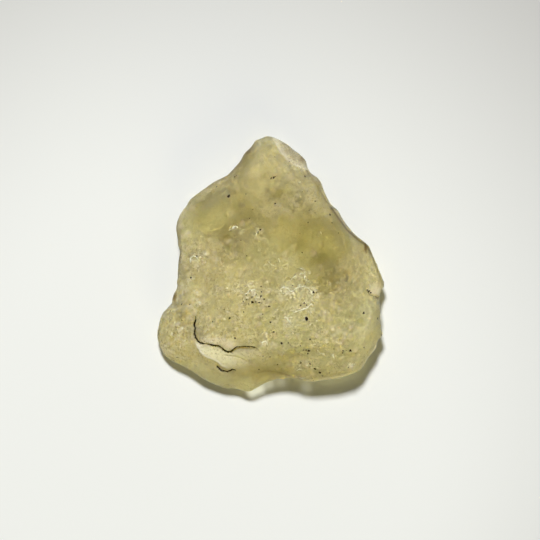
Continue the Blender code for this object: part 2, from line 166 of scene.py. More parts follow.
# Cracks and parted ledges: the photograph's path of each, then how far the lower side drops, how deep the
# seam is, half its width and half the width of the dirt in it, in mm.
MAIN_CRACK = [
    (196.5, 315), (195.5, 320.5), (194.5, 324), (195.3, 328), (194.7, 333), (196, 337),
    (198, 340.5), (200.5, 342.8), (206, 343.3), (211, 344.3), (215, 345.2), (219, 345.5),
    (222, 347.5), (225, 350), (228, 351.3), (231, 351.2), (234, 349), (237, 346.8),
    (243, 346.5), (250, 346.3), (256, 347.3), (259, 349.2),
]
LOWER_CRACK = [
    (216.5, 365), (219.5, 368.5), (222, 370), (225, 370.8), (228, 371.2), (231, 370),
    (233, 369), (236.5, 370),
]
FLAKE_EDGE = [
    (197.5, 345), (200, 351), (204, 355), (208, 357.2), (213, 359), (218, 361.4),
    (222, 365.4), (228, 367.6),
]
FLAKE_STREAK = [(223, 354.5), (230, 355.2), (238, 356.4), (244, 358.8), (248, 362)]
TROUGH_EDGE = [
    (250, 372), (253, 370.4), (257, 371.4), (260, 369.4), (264, 370.6), (268, 368.8), (273, 370.8),
    (277, 369.8), (282, 372), (286, 371.6), (291, 374.4), (296, 374.6), (300, 377.4), (305, 377.6),
    (309, 379.8),
]
NICK_SEAM = [(365.5, 288), (367.5, 291), (370.5, 294.5), (374.5, 296.2), (379, 297)]
NICK_RIDGE = [(368, 285.5), (371, 282.5), (375.5, 281), (380, 280)]
TIP_EDGE = [
    (271.5, 138), (274, 143), (277, 149), (280.5, 155), (285.5, 160.5), (291, 165), (296, 167.8),
    (302, 170.2), (308, 171.6),
]
LOBE_FOLD = [(163.5, 312), (174, 308), (186, 303.5), (197, 300.5)]
LOBE_FOLD_TWO = [(172, 331), (180, 325.5), (189, 322), (196, 315)]
SLOPE_CREASE = [(333.5, 208), (339, 219), (346, 230.5), (353, 238.5)]
LEDGES = [
    (MAIN_CRACK, 0.26, 0.55, 0.14, 0.16), (LOWER_CRACK, 0.16, 0.40, 0.12, 0.14),
    (FLAKE_EDGE, 0.26, 0.0, 0.1, 0.0), (FLAKE_STREAK, 0.10, 0.16, 0.11, 0.0),
    (TROUGH_EDGE, 0.20, 0.0, 0.1, 0.0), (LOBE_FOLD, 0.14, 0.05, 0.2, 0.0),
    (LOBE_FOLD_TWO, 0.12, 0.04, 0.2, 0.0), (SLOPE_CREASE, -0.14, 0.0, 0.1, 0.0),
    (TIP_EDGE, -0.16, 0.0, 0.1, 0.0), (NICK_SEAM, 0.22, 0.22, 0.12, 0.02),
    (NICK_RIDGE, -0.22, 0.0, 0.1, 0.0),
]
DIRT_THINS = 0.35        # share by which a crack's dirt narrows towards the path's end
BEVEL_WIDTH = 3.6        # the pale bevel reaches this far from its edge, in mm
LEDGE_SOFTNESS = 0.13    # half the width over which a ledge drops, in mm
LEDGE_FADE = 0.9         # a ledge fades into the surface over this distance, in mm
LEDGE_TAPER = 0.10       # share of a ledge's length over which each end fades out
DIRT_TAPER = 0.09        # the same share for the dirt in a crack
DIRT_START = 1.1         # the dirt's width at the path's start, as a share of the listed one

# Skins of another colour: as the froth rows.
FLAKE_PALE = [
    (203, 351, 1.0, 1.1, 1.0), (209, 355.5, 1.3, 0.8, 0.9), (218, 358.5, 1.8, 0.9, 0.8),
    (199, 345, 0.5, 0.8, 0.8), (243, 352.5, 2.4, 0.6, 0.45), (213, 350, 2.0, 0.8, 0.8),
    (226, 358, 2.0, 0.8, 0.5), (236, 363, 2.4, 0.7, 0.4),
]
LIP_ROSE = [
    (214, 341.8, 1.9, 0.36, 0.9), (229.5, 345.6, 1.0, 0.60, 1.0), (217, 338.6, 0.7, 0.40, 0.7),
    (204, 340, 0.8, 0.50, 0.5), (226, 340, 0.8, 0.4, 0.3), (375.5, 288.5, 0.55, 0.9, 0.9),
    (372, 291, 0.5, 0.5, 0.5), (166, 354, 1.2, 1.4, 0.3), (192, 190, 1.6, 0.3, 0.4),
    (180, 212, 0.4, 1.2, 0.5), (164, 356, 0.4, 1.6, 0.5),
]
RUST_STAIN = [
    (364.8, 247.5, 0.30, 1.0, 1.0), (352, 237, 0.9, 0.3, 0.4), (262, 372, 4.6, 0.8, 0.12),
    (284, 219, 1.3, 0.4, 0.4), (175.5, 297, 0.5, 0.8, 0.8), (249, 153, 0.5, 0.5, 0.6),
    (376, 297.5, 0.8, 0.35, 0.7), (302, 158, 0.9, 1.1, 0.6), (378, 283, 0.3, 0.9, 0.5),
    (166, 322, 0.4, 1.2, 0.4), (181, 238, 0.35, 2.0, 0.5), (246, 151, 0.5, 0.7, 0.5),
    (275, 353, 2.0, 0.7, 0.3), (229, 356.5, 2.2, 0.3, 0.3), (250, 361, 0.8, 0.4, 0.5),
]

# Painted shade: bands darker just inside the outline, where the glass's edges look dark by refraction: the
# photograph's path, half the width in mm, and strength.
PAINTED_EDGE_SHADE = [
    ([(251, 148), (246, 156), (240, 165), (232, 172), (224, 177), (214, 182), (203, 188), (193, 195),
     (186, 202)], 0.38, 0.55),
    ([(186, 202), (180, 212), (177.5, 225), (178, 240)], 0.22, 0.5),
    ([(331, 209), (338, 219), (346, 230), (356, 239), (366, 246.5), (370, 254)], 0.16, 0.9),
    ([(370, 254), (374, 264), (378, 275), (381.5, 285)], 0.14, 0.6),
    ([(306, 172), (312, 180), (320, 192), (327, 203)], 0.14, 0.4),
    ([(178, 240), (181, 250), (180, 262), (179, 275), (178, 286), (175, 297)], 0.15, 0.6),
    ([(258, 372), (264, 370), (274, 370.5), (284, 372.5), (294, 375.5)], 0.12, 0.45),
    ([(255, 134.5), (262, 137.5), (269, 136)], 0.20, 0.4),
]

# Skin worn smooth, with little grit: as the froth rows.
SMOOTH = [
    (262, 155, 2.6, 3.0, 0.9), (266, 184, 4.6, 2.6, 0.8), (330, 240, 5.0, 5.0, 0.8),
    (215, 215, 4.6, 3.4, 0.8), (366, 300, 1.8, 5.0, 0.7), (256, 374, 4.0, 1.0, 0.8),
    (226, 362, 3.6, 2.4, 0.5), (200, 380, 4.0, 1.6, 0.6), (364, 325, 2.4, 3.8, 0.9),
    (332, 306, 2.8, 1.8, 0.7), (198, 285, 2.4, 2.4, 0.5), (238, 270, 2.4, 1.6, 0.5),
]

# Pale streaks along folds and creases, and painted light along the lower right rim where it glows: as the
# painted edge shade rows.
PALE_STREAKS_AND_RIM_LIGHT = [
    ([(160, 319), (168, 312), (180, 308), (194, 304), (206, 299)], 0.13, 0.6),
    ([(171, 327), (180, 321), (190, 317), (197, 309)], 0.12, 0.5),
    ([(162, 330), (170, 324), (178, 316)], 0.10, 0.4),
    ([(335, 211), (341, 221), (347, 230), (352, 237)], 0.10, 0.8),
    ([(213, 329), (221, 328), (230, 324), (236, 326)], 0.10, 0.5),
    ([(243, 349), (250, 350), (256, 352)], 0.12, 0.5), ([(206, 366), (212, 368), (217, 366)], 0.12, 0.5),
    ([(369, 293), (372, 288), (376, 285), (381, 284)], 0.12, 0.7),
    ([(371, 297), (376, 293), (381, 291)], 0.10, 0.6),
    # Painted light along the lower right rim.
    ([(379, 340), (372, 350), (365, 360), (358, 368), (347, 373.5), (335, 376), (320, 378.5),
     (306, 380.5)], 0.16, 1.0),
    ([(322, 341), (330, 341.5), (338, 342), (344, 343)], 0.10, 0.7),
    ([(315, 343), (316, 349), (321, 353), (328, 352.5)], 0.10, 0.6),
    ([(352, 322), (360, 333), (364, 345), (362, 356)], 0.16, 0.4),
    ([(246, 349.5), (254, 350.5), (261, 353), (264, 356)], 0.16, 0.7),
    ([(262, 377), (272, 374), (284, 374.5), (296, 377.5), (305, 380)], 0.12, 0.6),
]

# Painted glow: skin made paler and milkier where light passing through the glass brightens it, most of all
# along the lower rim: as the froth rows.
PAINTED_GLOW = [
    (196, 369, 3.4, 1.1, 0.9), (222, 381, 3.8, 1.0, 1.0), (248, 388, 2.2, 0.8, 0.9),
    (184, 362, 2.0, 1.0, 0.5), (371, 268, 1.4, 3.4, 0.35), (366, 300, 1.8, 2.6, 0.3),
    (369, 342, 1.8, 2.4, 0.8), (352, 236, 1.2, 1.4, 0.4), (280, 379, 2.6, 0.6, 0.8),
    (300, 384, 1.8, 0.5, 0.8), (205, 305, 1.6, 2.6, 0.6), (288, 186, 1.6, 1.0, 0.4),
    (362, 328, 1.8, 3.0, 0.35), (330, 381, 3.0, 0.5, 0.6), (270, 148, 1.0, 1.2, 0.1),
    (206, 379, 1.6, 0.8, 0.9), (295, 381, 1.6, 0.6, 0.9), (238, 355, 2.8, 0.9, 0.6),
    (214, 354, 2.2, 1.0, 0.8), (216, 341, 2.0, 0.5, 0.5),
]

# Small bright knobs: white skin in part, and in part painted highlights where knobs and the lip catch the
# light, as the froth rows.
WHITE_KNOBS_AND_GLINTS = [
    (338, 331, 0.50, 0.40, 0.9), (344, 336, 0.40, 0.35, 0.8), (331, 334, 0.40, 0.40, 0.6),
    (351, 364, 0.50, 0.30, 0.9), (332, 355, 0.22, 0.50, 0.9), (266, 341, 0.35, 0.25, 0.9),
    (262, 343.5, 0.25, 0.20, 0.8), (270, 343, 0.25, 0.25, 0.8), (219, 338.5, 0.50, 0.22, 0.8),
    (197, 262, 0.60, 0.65, 0.8), (208, 266, 0.55, 0.45, 0.7), (190, 274, 0.50, 0.40, 0.8),
    (188, 233, 0.60, 0.60, 0.8), (184, 246, 0.40, 0.60, 0.7), (184, 284, 0.45, 0.35, 0.8),
    (215, 308, 0.50, 0.50, 0.5), (276, 270, 0.22, 0.18, 0.8), (318, 233, 0.18, 0.18, 0.9),
    (299, 183, 0.30, 0.14, 0.9), (293, 182, 0.14, 0.14, 0.8), (297, 281, 0.30, 0.18, 0.8),
    (274, 276, 0.16, 0.16, 0.9), (291, 321, 0.18, 0.32, 0.9), (270, 326, 0.35, 0.20, 0.7),
]

# Cooler, greener milky skin: as the froth rows.
COOL_SKIN = [
    (352, 330, 4.2, 3.6, 0.7), (300, 335, 5.4, 2.8, 0.6), (362, 320, 2.2, 3.8, 0.5),
    (322, 362, 5.4, 1.6, 0.6), (284, 346, 4.0, 1.8, 0.4), (280, 310, 4.2, 2.2, 0.35),
    (186, 232, 1.4, 3.0, 0.4), (214, 318, 3.0, 1.6, 0.2),
]

# Where the outline is drawn out or in by a little: across, down, half width and half height and push in mm.
OUTLINE_TOUCHES = [
    (364, 241, 1.3, 1.3, 0.30), (382, 274, 1.0, 2.2, 0.24), (384, 286, 0.8, 0.8, 0.10),
    (383.5, 301, 0.8, 0.9, -0.20), (383, 315, 0.8, 1.0, 0.22), (177, 271, 1.0, 1.9, 0.28),
    (175, 285, 0.9, 1.0, 0.12), (178, 254, 0.9, 0.8, -0.14), (309, 166, 1.0, 1.0, 0.18),
    (319, 180, 1.0, 1.4, 0.20), (294, 149, 1.0, 0.8, -0.18), (338, 210, 1.0, 1.2, 0.12),
    (379, 342, 0.7, 0.7, -0.16),
]

CLEAN = 1.0              # the grime gap of a place with no dirt near it, in mm
PATCH_FALL = 0.9         # how steeply a patch fades past its half width


def linear(hex_colour, alpha=1.0):
    """A colour written as sRGB hex, such as "c8b98a", as Blender's linear values."""
    shades = [int(hex_colour[i:i + 2], 16) / 255 for i in (0, 2, 4)]
    return tuple(s / 12.92 if s <= 0.04045 else ((s + 0.055) / 1.055) ** 2.4 for s in shades) + (alpha,)


def spot(across, down):
    """The place in plan, in metres, under a pixel of the photograph."""
    return (across - PHOTO_ORIGIN[0]) * PIXEL, (PHOTO_ORIGIN[1] - down) * PIXEL


def add(tree, kind, settings=None, inputs=None):
    """Adds a node, sets its properties, and sets or links its inputs by name or number."""
    node = tree.nodes.new(kind)
    for name, value in (settings or {}).items():
        setattr(node, name, value)
    for name, value in (inputs or {}).items():
        value = getattr(value, "socket", value)
        if isinstance(value, bpy.types.NodeSocket):
            tree.links.new(value, node.inputs[name])
        else:
            node.inputs[name].default_value = value
    return node


class Reading:
    """A number that changes over the surface. Reckoning with readings adds the nodes for it to their tree."""

    def __init__(self, tree, socket):
        self.tree = tree
        self.socket = socket

    def reckon(self, operation, *terms):
        node = add(self.tree, "ShaderNodeMath", {"operation": operation}, dict(enumerate(terms)))
        return Reading(self.tree, node.outputs[0])

    def __add__(self, other):
        return self.reckon("ADD", self, other)

    def __sub__(self, other):
        return self.reckon("SUBTRACT", self, other)

    def __rsub__(self, other):
        return self.reckon("SUBTRACT", other, self)

    def __mul__(self, other):
        return self.reckon("MULTIPLY", self, other)

    def __truediv__(self, other):
        return self.reckon("DIVIDE", self, other)

    def __or__(self, other):
        """The larger of the two."""
        return self.reckon("MAXIMUM", self, other)

    def __and__(self, other):
        """The smaller of the two."""
        return self.reckon("MINIMUM", self, other)

    def held(self):
        """The same reading, held between 0 and 1."""
        self.socket.node.use_clamp = True
        return self

    def between(self, low, high):
        """Low where this reading is 0 and high where it is 1."""
        node = add(self.tree, "ShaderNodeMix", {"data_type": "FLOAT"}, {0: self, 2: low, 3: high})
        return Reading(self.tree, node.outputs[0])


def points_of(mesh):
    co = np.empty(len(mesh.vertices) * 3)
    mesh.vertices.foreach_get("co", co)
    return co.reshape(-1, 3)


def normals_of(mesh):
    normals = np.empty(len(mesh.vertices) * 3)
    mesh.vertex_normals.foreach_get("vector", normals)
    return normals.reshape(-1, 3)


def keep_values(mesh, name, values):
    """Stores one number for each vertex under a name that nodes can read."""
    layer = mesh.attributes.get(name) or mesh.attributes.new(name, "FLOAT", "POINT")
    layer.data.foreach_set("value", np.asarray(values, dtype=np.float32))


def ease(share):
    share = np.clip(share, 0, 1)
    return share * share * (3 - 2 * share)


def patches(points, rows):
    """How strongly the listed patches cover each point in plan, 0 to 1."""
    cover = np.zeros(len(points))
    for across, down, half_width, half_height, strength in rows:
        x, y = spot(across, down)
        gap = np.hypot((points[:, 0] - x) / (half_width * MM), (points[:, 1] - y) / (half_height * MM))
        cover = 1 - (1 - cover) * (1 - strength * np.exp(-(gap ** 2) * PATCH_FALL))
    return cover


def path_frame(points, path):
    """For each point: the distance in mm to a path in plan, the side (1 is left), and the share along it."""
    path = np.array([spot(*place) for place in path]) / MM
    x, y = points[:, 0] / MM, points[:, 1] / MM
    steps = np.diff(path, axis=0)
    lengths = np.hypot(*steps.T)
    passed = np.concatenate(([0], np.cumsum(lengths)))
    distance, side, along = np.full(len(x), np.inf), np.zeros(len(x)), np.zeros(len(x))
    for start, step, length, before in zip(path, steps, lengths, passed):
        to_x, to_y = x - start[0], y - start[1]
        share = np.clip((to_x * step[0] + to_y * step[1]) / length ** 2, 0, 1)
        gap = np.hypot(to_x - share * step[0], to_y - share * step[1])
        nearer = gap < distance
        distance = np.where(nearer, gap, distance)
        side = np.where(nearer, np.sign(step[0] * to_y - step[1] * to_x), side)
        along = np.where(nearer, (before + share * length) / passed[-1], along)
    return distance, side, along


def stripes(points, rows):
    """How strongly the listed stripes cover each point in plan, 0 to 1."""
    cover = np.zeros(len(points))
    for path, half_width, strength in rows:
        distance = path_frame(points, path)[0]
        cover = np.maximum(cover, strength * np.exp(-((distance / half_width) ** 2)))
    return cover


def upper_side(mesh):
    return normals_of(mesh)[:, 2] > UPPER_FACING


def fine_blank():
    """The solid rebuilt on an even fine grid, with its facets smoothed out."""
    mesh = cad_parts[NODE].data.copy()
    shell = bmesh.new()
    shell.from_mesh(mesh)
    bmesh.ops.remove_doubles(shell, verts=shell.verts, dist=0.001 * MM)
    shell.to_mesh(mesh)
    shell.free()
    mesh.materials.clear()
    blank = bpy.data.objects.new("worn_glass", mesh)
    bpy.context.scene.collection.objects.link(blank)
    grid = blank.modifiers.new("grid", "REMESH")
    grid.mode = "VOXEL"
    grid.voxel_size = GRID
    settle = blank.modifiers.new("settle", "SMOOTH")
    settle.factor = 0.5
    settle.iterations = 3
    freeze(blank)
    return blank


def freeze(piece):
    """Turns what the modifiers make of the piece into its plain mesh."""
    made = bpy.data.meshes.new_from_object(piece.evaluated_get(bpy.context.evaluated_depsgraph_get()))
    piece.modifiers.clear()
    old = piece.data
    piece.data = made
    bpy.data.meshes.remove(old)


def refine(mesh, chosen, passes):
    """Halves the edges whose two ends are both chosen, then smooths what was added."""
    shell = bmesh.new()
    shell.from_mesh(mesh)
    shell.verts.ensure_lookup_table()
    edges = [edge for edge in shell.edges if chosen[edge.verts[0].index] and chosen[edge.verts[1].index]]
    made = bmesh.ops.subdivide_edges(shell, edges=edges, cuts=1, use_grid_fill=True)
    fresh = [item for item in made["geom_inner"] if isinstance(item, bmesh.types.BMVert)]
    for _ in range(passes):
        bmesh.ops.smooth_vert(
            shell, verts=fresh, factor=0.5, use_axis_x=True, use_axis_y=True, use_axis_z=True)
    bmesh.ops.triangulate(shell, faces=[face for face in shell.faces if len(face.verts) > 4])
    shell.to_mesh(mesh)
    shell.free()


def near_details(mesh, reach, froth_cover):
    """The upper vertices near a pit, a crack or lace, and where froth is thicker than froth_cover."""
    points = points_of(mesh)
    near = patches(points, FROTH) > froth_cover
    for across, down, radius, _ in PITS:
        x, y = spot(across, down)
        near |= np.hypot(points[:, 0] - x, points[:, 1] - y) < radius * MM + 0.5 * reach
    for path in [row[0] for row in LEDGES] + LACE:
        near |= path_frame(points, path)[0] * MM < reach
    return near & upper_side(mesh)


def touch_outline(mesh):
    """Draws the sides out or in, level, away from the middle of the plan."""
    points = points_of(mesh)
    outward = points[:, :2] / np.maximum(np.hypot(points[:, 0], points[:, 1]), MM)[:, None]
    for across, down, half_width, half_height, push in OUTLINE_TOUCHES:
        near = patches(points, [(across, down, half_width, half_height, 1.0)])
        points[:, :2] += outward * (near * push * MM)[:, None]
    mesh.vertices.foreach_set("co", points.ravel())


def carve_ledges(mesh):
    """Cuts the cracks and lifts and drops the sides of the ledges. The seams' dirt is kept as a gap in mm."""
    points, normals = points_of(mesh), normals_of(mesh)
    lift, grime = np.zeros(len(points)), np.full(len(points), CLEAN)
    for path, drop, depth, half_width, dirt_width in LEDGES:
        distance, side, along = path_frame(points, path)
        fade = ease(along / LEDGE_TAPER) * ease((1 - along) / LEDGE_TAPER)
        lift += fade * 0.5 * drop * np.tanh(side * distance / LEDGE_SOFTNESS) * np.exp(-distance / LEDGE_FADE)
        lift -= fade * depth * np.exp(-((distance / half_width) ** 2))
        if dirt_width > 0:
            dirt_fade = ease(along / DIRT_TAPER) * ease((1 - along) / DIRT_TAPER)
            grime = np.minimum(grime, distance - dirt_width * dirt_fade * (DIRT_START - DIRT_THINS * along))
    lift = np.where(upper_side(mesh), lift, 0)
    points += normals * lift[:, None] * MM
    mesh.vertices.foreach_set("co", points.ravel())
    keep_values(mesh, "grime", grime)


def raise_lace(mesh):
    """Lifts the thin rims of the burst bubbles and keeps the gap to the nearest one, in mm."""
    points, normals = points_of(mesh), normals_of(mesh)
    gap = np.min([path_frame(points, path)[0] for path in LACE], axis=0)
    gap = np.where(upper_side(mesh), gap, CLEAN)
    points += normals * np.exp(-((gap / LACE_HALF_WIDTH) ** 2))[:, None] * LACE_HEIGHT * MM
    mesh.vertices.foreach_set("co", points.ravel())
    keep_values(mesh, "lace_gap", np.minimum(gap, CLEAN))


# The patches that the material reads, under the names that they are stored by.
SKINS = {
    "froth": FROTH, "milky": MILKY, "clear": CLEAR, "knobs": KNOBS, "flake": FLAKE_PALE, "rose": LIP_ROSE,
    "rust": RUST_STAIN, "painted_glow": PAINTED_GLOW, "knob_white_and_glint": WHITE_KNOBS_AND_GLINTS, "cool": COOL_SKIN,
}
# The other values that the surface carries for it.
OTHER_VALUES = ["smooth", "edge_shade", "streak_and_rim_light", "grime", "lace_gap", "bevel", "flake_side", "glassy", "bloom"]
PINHOLE_COVER = 0.35     # pinholes are scattered this thickly over the whole stone


def name_skins(mesh):
    """Stores how far each place has each skin. The underside gets an even middling skin."""
    points = points_of(mesh)
    upward = ease(normals_of(mesh)[:, 2] / 0.4 + 0.5)
    for name, rows in SKINS.items():
        keep_values(mesh, name, patches(points, rows) * upward)
    distance, side, _ = path_frame(points, TIP_EDGE)
    keep_values(mesh, "bevel", np.where(distance < BEVEL_WIDTH, side * distance, -CLEAN))
    distance, side, _ = path_frame(points, FLAKE_EDGE)
    keep_values(mesh, "flake_side", side * distance)
    # The painted edge shade, darker just inside the outline.
    keep_values(mesh, "edge_shade", stripes(points, PAINTED_EDGE_SHADE))
    keep_values(mesh, "streak_and_rim_light", stripes(points, PALE_STREAKS_AND_RIM_LIGHT) * upward)
    keep_values(mesh, "smooth", patches(points, SMOOTH))
    keep_values(mesh, "pinholes", np.full(len(points), PINHOLE_COVER))
    for name in ("glassy", "bloom"):
        keep_values(mesh, name, np.zeros(len(points)))


# How a dent is made: its depth and its lip's height as shares of its radius, how glossy it is, how full its
# bowl is (small is full), and how far pale bloom covers it.
DENT_SIZES = ["Depth", "Lip", "Shine", "Softness", "Bloom"]
SHAKEN_BY = 0.30         # the outline of a dent wanders by up to a quarter of this, in mm
SHAKE_WIDTH = 0.30       # the width of what wanders, in mm
LIP_AT = 1.15            # the lip stands at this many radii from the middle
LIP_WIDTH = 0.28         # half its width, in radii
SHINE_REACH = 1.9        # the gloss of a dent ends at this many radii


def new_tree(name, inputs):
    """An empty tree that takes and gives geometry, with more inputs of these names and kinds."""
    tree = bpy.data.node_groups.new(name, "GeometryNodeTree")
    for label, kind in [("Geometry", "Geometry"), *inputs, *((size, "Float") for size in DENT_SIZES)]:
        tree.interface.new_socket(label, in_out="INPUT", socket_type="NodeSocket" + kind)
    tree.interface.new_socket("Geometry", in_out="OUTPUT", socket_type="NodeSocketGeometry")
    return tree, add(tree, "NodeGroupInput").outputs


def dent_group():
    """Nodes that press a round dent, with a raised lip, round each point of a second geometry."""
    tree, given = new_tree("dents", [("Points", "Geometry")])
    here = add(tree, "GeometryNodeInputPosition").outputs[0]
    stored = {}
    for name in ("radius", "dirt", "grime", "glassy", "bloom"):
        node = add(tree, "GeometryNodeInputNamedAttribute", {"data_type": "FLOAT"}, {"Name": name})
        stored[name] = Reading(tree, node.outputs[0])

    # The nearest point's place, radius and dirt.
    nearest = add(tree, "GeometryNodeSampleNearest", {"domain": "POINT"}, {"Geometry": given["Points"]})
    found = []
    for kind, value in (("FLOAT_VECTOR", here), ("FLOAT", stored["radius"]), ("FLOAT", stored["dirt"])):
        sample = add(tree, "GeometryNodeSampleIndex", {"data_type": kind, "domain": "POINT"}, {
            "Geometry": given["Points"], "Value": value, "Index": nearest.outputs["Index"]})
        found.append(sample.outputs["Value"])
    centre = found[0]
    radius = Reading(tree, found[1])
    dirt = Reading(tree, found[2])

    # The place is shaken a little before the distance is taken, so that no dent is a perfect circle.
    shake = add(tree, "ShaderNodeTexNoise", inputs={
        "Vector": here, "Scale": 1 / (SHAKE_WIDTH * MM), "Detail": 1.0})
    shake = add(tree, "ShaderNodeVectorMath", {"operation": "SUBTRACT"}, {
        0: shake.outputs["Color"], 1: (0.5,) * 3})
    shaken = add(tree, "ShaderNodeVectorMath", {"operation": "MULTIPLY_ADD"}, {
        0: shake.outputs[0], 1: (SHAKEN_BY * MM,) * 3, 2: here})
    gap = add(tree, "ShaderNodeVectorMath", {"operation": "DISTANCE"}, {0: shaken.outputs[0], 1: centre})
    gap = Reading(tree, gap.outputs["Value"])

    share = gap / radius
    bowl = (1.0 - share * share).held()
    bowl = bowl.reckon("POWER", bowl, given["Softness"])
    from_lip = (share - LIP_AT) / LIP_WIDTH
    lip = share.reckon("EXPONENT", from_lip * from_lip * -1.0)
    rise = lip * given["Lip"] - bowl * given["Depth"]
    shift = add(tree, "ShaderNodeVectorMath", {"operation": "SCALE"}, {
        0: add(tree, "GeometryNodeInputNormal").outputs[0], "Scale": rise * radius}).outputs[0]

    # Dirt fills the middle of a dirty dent. The gap to its edge is in mm.
    dirt_gap = (gap - radius) / MM + dirt.reckon("LESS_THAN", dirt, 0.5) * CLEAN
    marks = {
        "grime": dirt_gap & stored["grime"],
        "glassy": (SHINE_REACH - share).held() * given["Shine"] | stored["glassy"],
        "bloom": bowl * given["Bloom"] | stored["bloom"],
    }
    geometry = given["Geometry"]
    for name, value in marks.items():
        node = add(tree, "GeometryNodeStoreNamedAttribute", {"data_type": "FLOAT", "domain": "POINT"}, {
            "Geometry": geometry, "Name": name, "Value": value})
        geometry = node.outputs[0]
    moved = add(tree, "GeometryNodeSetPosition", inputs={"Geometry": geometry, "Offset": shift})
    add(tree, "NodeGroupOutput", inputs={"Geometry": moved.outputs[0]})
    return tree


def open_bubbles_tree(dents, glass):
    """Scatters burst bubbles over the places that a stored value marks, and dents the surface at each."""
    tree, given = new_tree("open_bubbles", [
        ("Zone", "String"), ("Spacing", "Float"), ("Per Square Metre", "Float"), ("Smallest", "Float"),
        ("Largest", "Float"), ("Dirty Share", "Float"), ("Seed", "Int")])
    zone = add(tree, "GeometryNodeInputNamedAttribute", {"data_type": "FLOAT"}, {"Name": given["Zone"]})
    scatter = add(tree, "GeometryNodeDistributePointsOnFaces", {"distribute_method": "POISSON"}, {
        "Mesh": given["Geometry"], "Distance Min": given["Spacing"], "Density Max": given["Per Square Metre"],
        "Density Factor": zone.outputs[0], "Seed": given["Seed"]})
    size = add(tree, "FunctionNodeRandomValue", {"data_type": "FLOAT"}, {
        2: given["Smallest"], 3: given["Largest"], "Seed": given["Seed"]})
    luck = add(tree, "FunctionNodeRandomValue", {"data_type": "BOOLEAN"}, {
        "Probability": given["Dirty Share"], "Seed": given["Seed"]})
    points = scatter.outputs["Points"]
    for name, value in (("radius", size.outputs[1]), ("dirt", luck.outputs[3])):
        node = add(tree, "GeometryNodeStoreNamedAttribute", {"data_type": "FLOAT", "domain": "POINT"}, {
            "Geometry": points, "Name": name, "Value": value})
        points = node.outputs[0]
    finish_tree(tree, given, points, dents, glass)
    return tree


def placed_pits_tree(dents, glass):
    """Dents the surface at each vertex of another object, which carries the radius and the dirt."""
    tree, given = new_tree("placed_pits", [("Pits", "Object")])
    pits = add(tree, "GeometryNodeObjectInfo", inputs={"Object": given["Pits"]})
    finish_tree(tree, given, pits.outputs["Geometry"], dents, glass)
    return tree


def finish_tree(tree, given, points, dents, glass):
    """Dents the surface round the points and gives it its material."""
    sizes = {size: given[size] for size in DENT_SIZES}
    dented = add(tree, "GeometryNodeGroup", {"node_tree": dents}, {
        "Geometry": given["Geometry"], "Points": points, **sizes})
    whole = add(tree, "GeometryNodeRealizeInstances", inputs={"Geometry": dented.outputs[0]})
    faced = add(tree, "GeometryNodeSetMaterial", inputs={"Geometry": whole.outputs[0], "Material": glass})
    add(tree, "NodeGroupOutput", inputs={"Geometry": faced.outputs[0]})


def press(piece, tree, **sizes):
    """Runs a geometry tree on the piece with these inputs. Their names have low lines for spaces."""
    modifier = piece.modifiers.new(tree.name, "NODES")
    modifier.node_group = tree
    wanted = {name.replace("_", " ").lower(): value for name, value in sizes.items()}
    for item in tree.interface.items_tree:
        if item.in_out == "INPUT" and item.name.lower() in wanted:
            modifier[item.identifier] = wanted[item.name.lower()]
    freeze(piece)


def pit_marks(mesh):
    """A loose vertex on the upper side for each listed pit, with its radius and dirt."""
    surface = BVHTree.FromPolygons(
        [vertex.co.copy() for vertex in mesh.vertices], [tuple(face.vertices) for face in mesh.polygons])
    places, radii, dirt = [], [], []
    for across, down, radius, dirty in PITS:
        x, y = spot(across, down)
        hit = surface.ray_cast(Vector((x, y, 1.0)), Vector((0, 0, -1)))[0]
        if hit is None:
            continue
        places.append(tuple(hit))
        radii.append(radius * MM)
        dirt.append(float(dirty))
    marks = bpy.data.meshes.new("pit_marks")
    marks.from_pydata(places, [], [])
    keep_values(marks, "radius", radii)
    keep_values(marks, "dirt", dirt)
    holder = bpy.data.objects.new("pit_marks", marks)
    bpy.context.scene.collection.objects.link(holder)
    return holder


# The glass: nearly pure silica melted in the desert. IOR 1.46, pale straw yellow, deeper where it is thick.
GLASS_IOR = 1.46
GLASS_TINT = "f6f1d8"
OLIVE_TINT = "e3dfbc"
FROSTED_SKIN = "e8dd99"
PINK_FLECK = "e9d6ac"
PALE_FLECK = "f9f0c8"
# Painted highlight on the rims and walls of burst bubbles.
LACE_GLINT_WHITE = "fafce0"
# The flake's own pale cream, set paler still as painted light where it faces the lamp.
FLAKE_SKIN = "f5f2c6"
# Painted highlight on lit rims, knobs and specks.
GLINT_CREAM = "fffade"
ROSE_SKIN = "ffe8cc"
BEVEL_SKIN = "cfc7ac"
# Painted highlight along the chip's edge.
BEVEL_RIM_GLINT = "ece4cb"
# The colour of the painted glow.
PAINTED_GLOW_SKIN = "fff8c6"
COOL_TINT = "dfe8c6"
BLOOM_SKIN = "f6e8c4"
# Dull glass of the grit, and painted shade beside and between the froth's rims and walls.
DULL_GLASS_AND_SHADE = "a89b5e"
# The colour of the painted shade just inside the outline.
SHADED_EDGE = "8f7f55"
RUST_SKIN = "7d6534"
DESERT_DIRT = "2a1b0e"
ABSORBED_PER_MM = (0.0125, 0.0185, 0.077)
DULLED_GLINT = "a8a8a4"  # sand-blown skin glints less than clean glass
GRIME_RAGGED = 0.06      # how far the edge of the dirt wanders, in mm
GLOW_DEPTH = (4.5, 4.0, 2.1)   # how far light spreads under the frosted skin, in mm, for red, green and blue
NET_WIDTH = 0.36         # the width of a bubble in the froth's net, in mm
NET_WANDER = 0.50        # how far the net wanders, in mm

